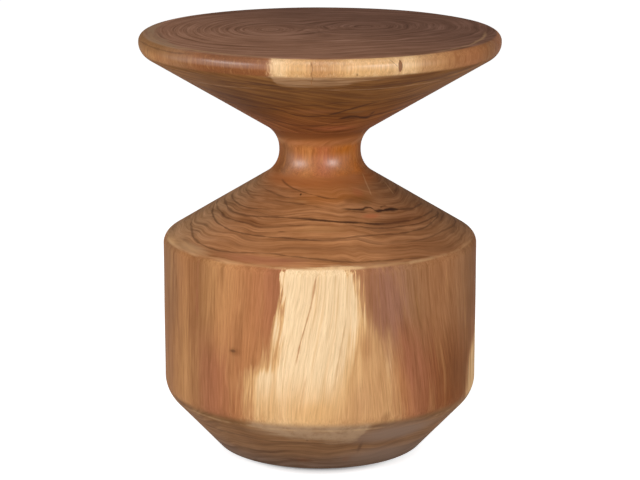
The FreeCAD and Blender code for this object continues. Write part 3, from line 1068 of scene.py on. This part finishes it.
# Wood of the top
TOP_FACING_UP = (0.85, 0.98)
TOP_FACING_DOWN = (0.45, 0.65)
RIM_GRAIN_STRENGTH = 0.85
RIM_POLISH = 0.6
RIM_POLISH_RADII = (207, 212)
RIM_POLISH_LEVELS = (493, 498)
RIM_POLISH_ANGLES = (-62, -44), (46, 30)
RIM_FRINGE = 4.0
RIM_DARK_STREAKS = Streaks(9, 0.2, 0.5, 0.64, 0.4)
RIM_PALE_STREAKS = Streaks(4, 0.3, 0.54, 0.66, 0.22)
RIM_DULLNESS = 0.85
RIM_DULL_LEVELS = (493, 502)
RIM_DULL_ANGLES = (-46, -58)
FACE_LEVELS = (496, 504)
FACE_DARKENING = (-210, 170)
TOP_RING_BEND = 60
HEART_BLEND = 110.0
BRANCH_STRETCH = (1.1, 0.9)
BRANCH_DELAY = 9.0
CONE_RING_STRENGTH = 0.5
FACE_RING_STRENGTH = 0.34
CONE_CONTRAST = 1.85
FACE_CONTRAST = 1.7
TOP_TORN_REACH = 26.0
TOP_SAP_EDGE = (-5.0, 7.0)
SAP_ARCS = Figure(2.6, 3, 0.6)
SAP_ARC_TURN = 9.0
SAP_ARC_EDGE = (0.38, 0.56)
SAP_ARC_STRENGTHS = (0.4, 0.9)


def top_wood():
    g = Log("log_wood_top", TOP_FACING_UP, TOP_FACING_DOWN)
    side = g.mix(RIM_GRAIN_STRENGTH, rim_side(g), g.grain(), "MULTIPLY")
    rim = g.times(g.fade(g.radius, *RIM_POLISH_RADII), g.fade(g.z, *RIM_POLISH_LEVELS))
    polish = g.times(rim, g.between(g.angle, *RIM_POLISH_ANGLES), RIM_POLISH)
    return g.lacquered(g.mix(g.end_grain, side, top_ends(g)), polish)


def rim_side(g):
    """Long grain of the rim, with a painted shade along its upper edge at the left."""
    angle = g.shifted(g.angle, g.fringe, RIM_FRINGE)
    sapwood = g.between(angle, *RIM_SAP)
    side = g.mix(sapwood, g.bands(angle, RIM_BANDS), g.bands(angle, RIM_SAP_BANDS))
    side = g.mix(g.streaks(RIM_DARK_STREAKS), side, g.mix(sapwood, RUSSET, HONEY))
    side = g.mix(g.streaks(RIM_PALE_STREAKS), side, g.mix(sapwood, HONEY, CREAM))
    dull = g.times(g.fade(g.z, *RIM_DULL_LEVELS), g.fade(angle, *RIM_DULL_ANGLES))
    side = g.mix(g.times(dull, RIM_DULLNESS), side, OLIVE_BROWN)
    # Painted shade along the rim's upper edge at the left
    side = g.draw(side, PAINTED_RIM_EDGE_SHADE, g.angle, g.z)
    return g.draw(side, RIM_LINES, g.z, g.angle)


def top_ends(g):
    """End grain of the flat face and of the cone under it, with a painted highlight along the face's edge.
    """
    growth = g.math("SMOOTH_MIN", g.growth(TOP_PITH, TOP_RING_BEND), second_heart(g), HEART_BLEND)
    flat = g.fade(g.z, *FACE_LEVELS)
    under = g.minus(1.0, flat)
    face = g.mix(g.fade(g.plus(g.x, g.y), *FACE_DARKENING), CHOCOLATE, DEEP_CHOCOLATE)
    end = g.mix(flat, g.bands(g.radius, CONE_BANDS), face)
    strength = g.mix_value(flat, CONE_RING_STRENGTH, FACE_RING_STRENGTH)
    end = ringed(g, end, growth, strength, g.mix_value(flat, CONE_CONTRAST, FACE_CONTRAST))
    wavy = g.plus(g.radius, g.waves)
    # On the face: a line of the grain, and pale lines along its edge that are a painted highlight
    end = g.mix(flat, g.paint(end, CONE_PATCHES, polar(g)), g.draw(end, TOP_LINES_AND_EDGE_HIGHLIGHT, g.angle, wavy))
    end = g.draw(end, CONE_LINES, g.angle, wavy, under)
    torn = torn_edge(g, wavy, TOP_TORN_REACH)
    arcs = g.fade(g.figure(SAP_ARCS, g.along_rings(wavy, SAP_ARC_TURN)), *SAP_ARC_EDGE)
    streaky = g.mix_value(arcs, *SAP_ARC_STRENGTHS)
    for edge, where, tint in ((CONE_SAP, under, DULL_TAN), (TOP_SAP, flat, GREY_TAN)):
        sapwood = g.fade(g.minus(torn, g.curve(g.angle, edge)), *TOP_SAP_EDGE)
        end = g.mix(g.times(sapwood, where, streaky), end, tint)
    return end


def second_heart(g):
    """Rings of a branch that grew up beside the pith."""
    return g.plus(g.from_pith(BRANCH_PITH, BRANCH_STRETCH), g.waves, BRANCH_DELAY)


# Wood of the pedestal. DRUM_SCALE is how many millimetres of its face a degree takes up.
DRUM_SCALE = 189.5 * math.radians(1)
PEDESTAL_FACING_UP = (0.58, 0.76)
PEDESTAL_FACING_DOWN = (0.2, 0.45)
NECK_LEVELS = (322, 340)
NECK_POLISH_LEVELS = (332, 344), (372, 356)
NECK_POLISH_ANGLES = (-62, -40), (58, 36)
NECK_POLISH_TURN = (-10, 10)
NECK_POLISH_STRENGTHS = (0.8, 1.0)
NECK_STREAKS = Streaks(5, 0.16, 0.5, 0.64, 0.4)
HEAD_LEVELS = (125, 205)
HEAD_DRIFT = 60.0
DRUM_FRINGE = 9.0
DRUM_DRIFT = 5.0
DRUM_PATCH_DRIFT = 30.0
DRUM_DARK_STREAKS = Streaks(14, 0.12, 0.48, 0.68, 0.34)
DRUM_PALE_STREAKS = Streaks(10, 0.1, 0.52, 0.7, 0.3)
SAP_REACH = 14.0
SAP_CORE_LEVELS = (88, 150)
SAP_CORE_STRENGTHS = (0.4, 1.0)
SAP_FRINGE = 0.3
SAP_END = (276, 266)
SAP_SHOWN = (0.02, 0.75)
SAP_STREAKS = Streaks(8, 0.05, 0.5, 0.68, 0.45)
FINE_SAP_STREAKS = Streaks(2.6, 0.025, 0.53, 0.66, 0.4)
FINE_SAP_PLACES = Streaks(26, 0.2, 0.42, 0.6, 1.0)
SAP_LINE_WAVINESS = 0.1
ABOVE_DRUM = (200, 240)
COVE_LEVELS = (384, 391)
COVE_STRENGTH = 0.7
COVE_DARK_LEVELS = (382, 391)
COVE_DARKNESS = 0.52
COVE_LEAN = -0.055
PEDESTAL_RING_BEND = 50
PEDESTAL_RING_STRENGTH = 0.5
PEDESTAL_CONTRAST = 1.35
PEDESTAL_TORN_REACH = 16.0
FOOT_SAP_SOFTNESS = 5.0
SHOULDER_SAP_SOFTNESS = 2.5
SAP_CLOUDS = Figure(9, 4, 0.65)
SAP_CLOUD_EDGE = (0.35, 0.6)
SAP_CLOUD_STRENGTHS = (0.6, 0.95)


def pedestal_wood():
    g = Log("log_wood_pedestal", PEDESTAL_FACING_UP, PEDESTAL_FACING_DOWN, leaning=True)
    shown = g.math("MAXIMUM", g.curve(g.angle, GRAIN_STRENGTH), g.fade(g.z, *NECK_LEVELS))
    side = g.mix(shown, drum_side(g), g.grain(), "MULTIPLY")
    colour = g.mix(g.end_grain, side, pedestal_ends(g))
    # Pale lines along the drum's arrises: partly wear, partly a painted highlight of the rounded edges
    for level in WEAR_AND_HIGHLIGHT_LEVELS:
        from_edge = g.math("ABSOLUTE", g.minus(g.shifted(g.z, g.waves, WEAR_AND_HIGHLIGHT_WAVINESS), level))
        edge = g.times(g.fade(from_edge, *WEAR_AND_HIGHLIGHT_REACH), g.fade(g.radius, *WEAR_AND_HIGHLIGHT_RADII))
        wear_and_highlight = g.times(edge, g.fade(g.figure(WEAR_AND_HIGHLIGHT_PLACES), *WEAR_AND_HIGHLIGHT_PLACES_EDGE))
        colour = g.mix(g.times(wear_and_highlight, WEAR_AND_HIGHLIGHT_STRENGTH), colour, PALE_GOLD)
    neck = g.times(g.between(g.z, *NECK_POLISH_LEVELS), g.between(g.angle, *NECK_POLISH_ANGLES))
    polish = g.mix_value(g.fade(g.angle, *NECK_POLISH_TURN), *NECK_POLISH_STRENGTHS)
    return g.lacquered(colour, g.times(neck, polish))


def drum_side(g):
    """Long grain of the drum and the neck, with the sapwood in it."""
    angle = g.shifted(g.shifted(g.angle, g.fringe, DRUM_FRINGE), g.drift, DRUM_DRIFT)
    neck = g.fade(g.z, *NECK_LEVELS)
    head = g.fade(g.shifted(g.z, g.drift, HEAD_DRIFT), *HEAD_LEVELS)
    side = g.mix(head, g.bands(angle, FOOT_BANDS), g.bands(angle, HEAD_BANDS))
    drum = g.combine(g.times(angle, DRUM_SCALE), g.shifted(g.z, g.drift, DRUM_PATCH_DRIFT))
    side = g.paint(side, DRUM_PATCHES, drum, DRUM_SCALE)
    side = g.mix(g.streaks(DRUM_DARK_STREAKS), side, DARK_BROWN)
    side = g.mix(g.streaks(DRUM_PALE_STREAKS), side, HONEY)
    side = g.mix(neck, side, g.bands(angle, NECK_BANDS))
    side = g.mix(g.times(g.streaks(NECK_STREAKS), neck), side, NECK_GOLD)
    side = g.paint(side, DRUM_KNOT, g.combine(g.times(g.angle, DRUM_SCALE), g.z), DRUM_SCALE)
    side = g.draw(side, DRUM_LINES, g.z, angle)
    paleness = sap_paleness(g, angle)
    return g.mix(g.fade(paleness, *SAP_SHOWN), side, drum_sap(g, paleness, drum))


def sap_paleness(g, angle):
    """How pale the drum's sapwood is: 0 in the heartwood."""
    edge = g.shifted(angle, g.ragged, SAP_REACH)
    soft = g.curve(g.z, EDGE_SOFTNESS)
    core = g.lobe(edge, CORE_LEFT, CORE_RIGHT, soft, g.times(soft, CORE_RIGHT_SOFTNESS))
    core = g.times(core, g.mix_value(g.fade(g.z, *SAP_CORE_LEVELS), *SAP_CORE_STRENGTHS))
    tan = g.lobe(edge, TAN_LEFT, TAN_RIGHT, soft, TAN_RIGHT_SOFTNESS)
    front = g.times(g.plus(core, tan), 0.5)
    others = g.plus(g.lobe(edge, SIDE_LOBE_LEFT, SIDE_LOBE_RIGHT, *SIDE_LOBE_SOFTNESS),
                    g.lobe(edge, BACK_LOBE_LEFT, BACK_LOBE_RIGHT, *BACK_LOBE_SOFTNESS))
    paleness = g.math("MAXIMUM", front, g.times(others, OTHER_LOBES_PALENESS))
    return g.times(g.shifted(paleness, g.fringe, SAP_FRINGE), g.fade(g.z, *SAP_END))


def drum_sap(g, paleness, drum):
    """Colour of the drum's sapwood."""
    sap = g.bands(paleness, SAP_COLOURS)
    sap = g.paint(sap, SAP_PATCHES, drum, DRUM_SCALE)
    sap = g.mix(g.streaks(SAP_STREAKS), sap, GOLD)
    fine = g.times(g.streaks(FINE_SAP_STREAKS), g.streaks(FINE_SAP_PLACES))
    sap = g.mix(fine, sap, HONEY)
    return g.draw(sap, SAP_LINES, g.z, g.shifted(g.angle, g.waves, SAP_LINE_WAVINESS))


def pedestal_ends(g):
    """End grain of the shoulder, the foot and the cove under the top, with a painted highlight along the
    shoulder's arris.
    """
    shoulder = g.fade(g.z, *ABOVE_DRUM)
    foot = g.minus(1.0, shoulder)
    wavy = g.plus(g.radius, g.waves)
    end = g.mix(shoulder, g.bands(g.radius, FOOT_CONE_BANDS), g.bands(g.angle, SHOULDER_BANDS))
    end = g.mix(g.times(g.fade(g.z, *COVE_LEVELS), COVE_STRENGTH), end, CONE_DEEP)
    growth = g.growth(PEDESTAL_PITH, PEDESTAL_RING_BEND)
    end = ringed(g, end, growth, PEDESTAL_RING_STRENGTH, PEDESTAL_CONTRAST)
    plane = polar(g)
    end = g.mix(shoulder, g.paint(end, FOOT_PATCHES, plane), g.paint(end, SHOULDER_PATCHES, plane))
    # Lines of the shoulder's grain, and a pale line along its arris that is a painted highlight
    end = g.draw(end, SHOULDER_LINES_AND_ARRIS_HIGHLIGHT, g.angle, wavy, shoulder)
    end = g.draw(end, FOOT_LINES, g.angle, wavy, foot)
    cove = g.fade(g.shifted(g.z, g.x, COVE_LEAN), *COVE_DARK_LEVELS)
    end = g.mix(g.times(cove, COVE_DARKNESS), end, UMBER)
    sap_edge = g.mix_value(shoulder, g.curve(g.angle, FOOT_SAP), g.curve(g.angle, SHOULDER_SAP))
    softness = g.mix_value(shoulder, FOOT_SAP_SOFTNESS, SHOULDER_SAP_SOFTNESS)
    from_edge = g.minus(torn_edge(g, wavy, PEDESTAL_TORN_REACH), sap_edge)
    sapwood = g.fade(from_edge, g.times(softness, -1.0), softness)
    cloudy = g.mix_value(g.fade(g.figure(SAP_CLOUDS), *SAP_CLOUD_EDGE), *SAP_CLOUD_STRENGTHS)
    return g.mix(g.times(sapwood, cloudy), end, g.mix(shoulder, TAUPE, PALE_GOLD))


# Small pieces

def plain(name, light, dark, mottle, roughness, bump_size=0.4, bump=0.02 * MM, **inputs):
    """Small hidden or plain pieces: a colour with a mottle of this size, and a fine grain of their own."""
    g = Graph(name)
    place = g.in_millimetres(g.add("ShaderNodeTexCoord"))
    colour = g.mix(g.noise(place, mottle, detail=4, roughness=0.65), dark, light)
    height = g.noise(place, bump_size, detail=3, roughness=0.6)
    return g.finish({"Base Color": colour, "Roughness": roughness, **inputs}, height, bump)


def dress_small_pieces():
    """Finishes of the pieces whose solids are shown as they are."""
    finishes = {
        "neck_dowel": plain("dowel_wood", srgb(214, 170, 122), srgb(186, 138, 92), mottle=6, roughness=0.6),
        "rim_check_fill": plain("resin_fill", srgb(158, 104, 58), srgb(108, 68, 38), mottle=2.5,
                                roughness=0.6),
        "glide_screws": plain("screw_steel", srgb(190, 186, 172), srgb(150, 146, 134), mottle=1.5,
                              roughness=0.35, Metallic=1.0),
    }
    nylon = plain("glide_nylon", srgb(72, 52, 40), srgb(58, 42, 32), mottle=3, roughness=0.5)
    felt = plain("glide_felt", srgb(120, 98, 80), srgb(82, 66, 54), mottle=0.7, roughness=0.95,
                 bump_size=0.5, bump=0.25 * MM)
    for number in range(1, GLIDE_COUNT + 1):
        finishes[f"glide_cup_{number}"] = nylon
        finishes[f"glide_felt_{number}"] = felt
    for node, material in finishes.items():
        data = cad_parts[node].data
        data.materials.clear()
        data.materials.append(material)


# Stage

CAMERA_DISTANCE = 2.850
CAMERA_HEIGHT = 0.9265
CAMERA_PITCH = math.radians(13.304)
FOCAL_PIXELS = 2413.0
PICTURE_WIDTH = 640
SENSOR_WIDTH = 36.0
LIGHT_AIM_LEVEL = 0.3


def make_camera():
    data = bpy.data.cameras.new("camera")
    data.sensor_width = SENSOR_WIDTH
    data.lens = FOCAL_PIXELS * SENSOR_WIDTH / PICTURE_WIDTH
    camera = new_object("camera", data)
    camera.location = (0, -CAMERA_DISTANCE, CAMERA_HEIGHT)
    camera.rotation_euler = (math.pi / 2 - CAMERA_PITCH, 0, 0)
    bpy.context.scene.camera = camera


def make_softbox(name, azimuth, elevation, distance, width, height, power):
    """Area light that looks at the middle of the table."""
    data = bpy.data.lights.new(name, "AREA")
    data.shape = "RECTANGLE"
    data.size = width
    data.size_y = height
    data.energy = power
    light = new_object(name, data)
    turn, rise = math.radians(azimuth), math.radians(elevation)
    aim = Vector((0, 0, LIGHT_AIM_LEVEL))
    place = Vector((math.sin(turn) * math.cos(rise), -math.cos(turn) * math.cos(rise), math.sin(rise)))
    light.location = aim + place * distance
    light.rotation_euler = (-place).to_track_quat("-Z", "Y").to_euler()


def seen_directly(g):
    """1 for rays that show the stage itself or its reflection."""
    path = g.add("ShaderNodeLightPath").outputs
    total = path["Is Camera Ray"]
    for kind in ("Is Glossy Ray", "Is Transmission Ray"):
        total = g.math("MAXIMUM", total, path[kind])
    return total


WORLD_COLOUR = (1.0, 1.0, 1.0, 1.0)
WORLD_LIGHT = 0.22
FLOOR_SIZE = 30.0
FLOOR_COLOUR = (0.79, 0.8, 0.82, 1.0)
# Glow of the floor by distance from the axis, stretched at the sides: low under and just round the foot, a
# painted contact shadow, and even further out so that the floor shows white
FLOOR_GLOW_AND_PAINTED_SHADOW = [
    (0.115, 0.15), (0.124, 0.28), (0.134, 0.52), (0.17, 0.86), (0.6, 0.84), (1.6, 0.74), (2.4, 0.8),
    (6.0, 0.84)]
GLOW_AND_SHADOW_SIDE_STRETCH = 1.25


def make_world():
    world = bpy.data.worlds.new("studio")
    world.use_nodes = True
    background = world.node_tree.nodes["Background"]
    background.inputs["Color"].default_value = WORLD_COLOUR
    background.inputs["Strength"].default_value = WORLD_LIGHT
    bpy.context.scene.world = world


def make_floor():
    """White floor that takes the table's shadow and stays white around it. Its glow is low under and just
    round the foot, which paints a contact shadow there.
    """
    mesh = bmesh.new()
    bmesh.ops.create_grid(mesh, x_segments=1, y_segments=1, size=FLOOR_SIZE / 2)
    data = new_mesh("floor", mesh)
    floor = new_object("floor", data)
    g = Graph("white_floor")
    matte = g.add("ShaderNodeBsdfDiffuse", {"Color": FLOOR_COLOUR})
    place = g.add("ShaderNodeTexCoord").outputs["Object"]
    from_table = g.vector("LENGTH", g.vector("MULTIPLY", place, (GLOW_AND_SHADOW_SIDE_STRETCH, 1, 1)))
    glow_and_painted_shadow = g.curve(from_table, FLOOR_GLOW_AND_PAINTED_SHADOW)
    floor_glow_with_painted_shadow = g.add("ShaderNodeEmission", {"Strength": g.times(seen_directly(g), glow_and_painted_shadow)})
    both = g.add("ShaderNodeAddShader", {0: matte.outputs[0], 1: floor_glow_with_painted_shadow.outputs[0]})
    data.materials.append(g.shown(both))


make_table_top(top_wood())
make_pedestal(pedestal_wood())
dress_small_pieces()
make_camera()
make_world()
make_floor()
make_softbox("left_softbox", azimuth=-57, elevation=16, distance=2.6, width=1.4, height=0.7, power=29)
make_softbox("right_softbox", azimuth=34, elevation=12, distance=2.6, width=0.8, height=0.55, power=22.5)
make_softbox("overhead_softbox", azimuth=0, elevation=58, distance=3.0, width=2.4, height=2.0, power=30.5)
bpy.context.scene.view_settings.view_transform = "Standard"
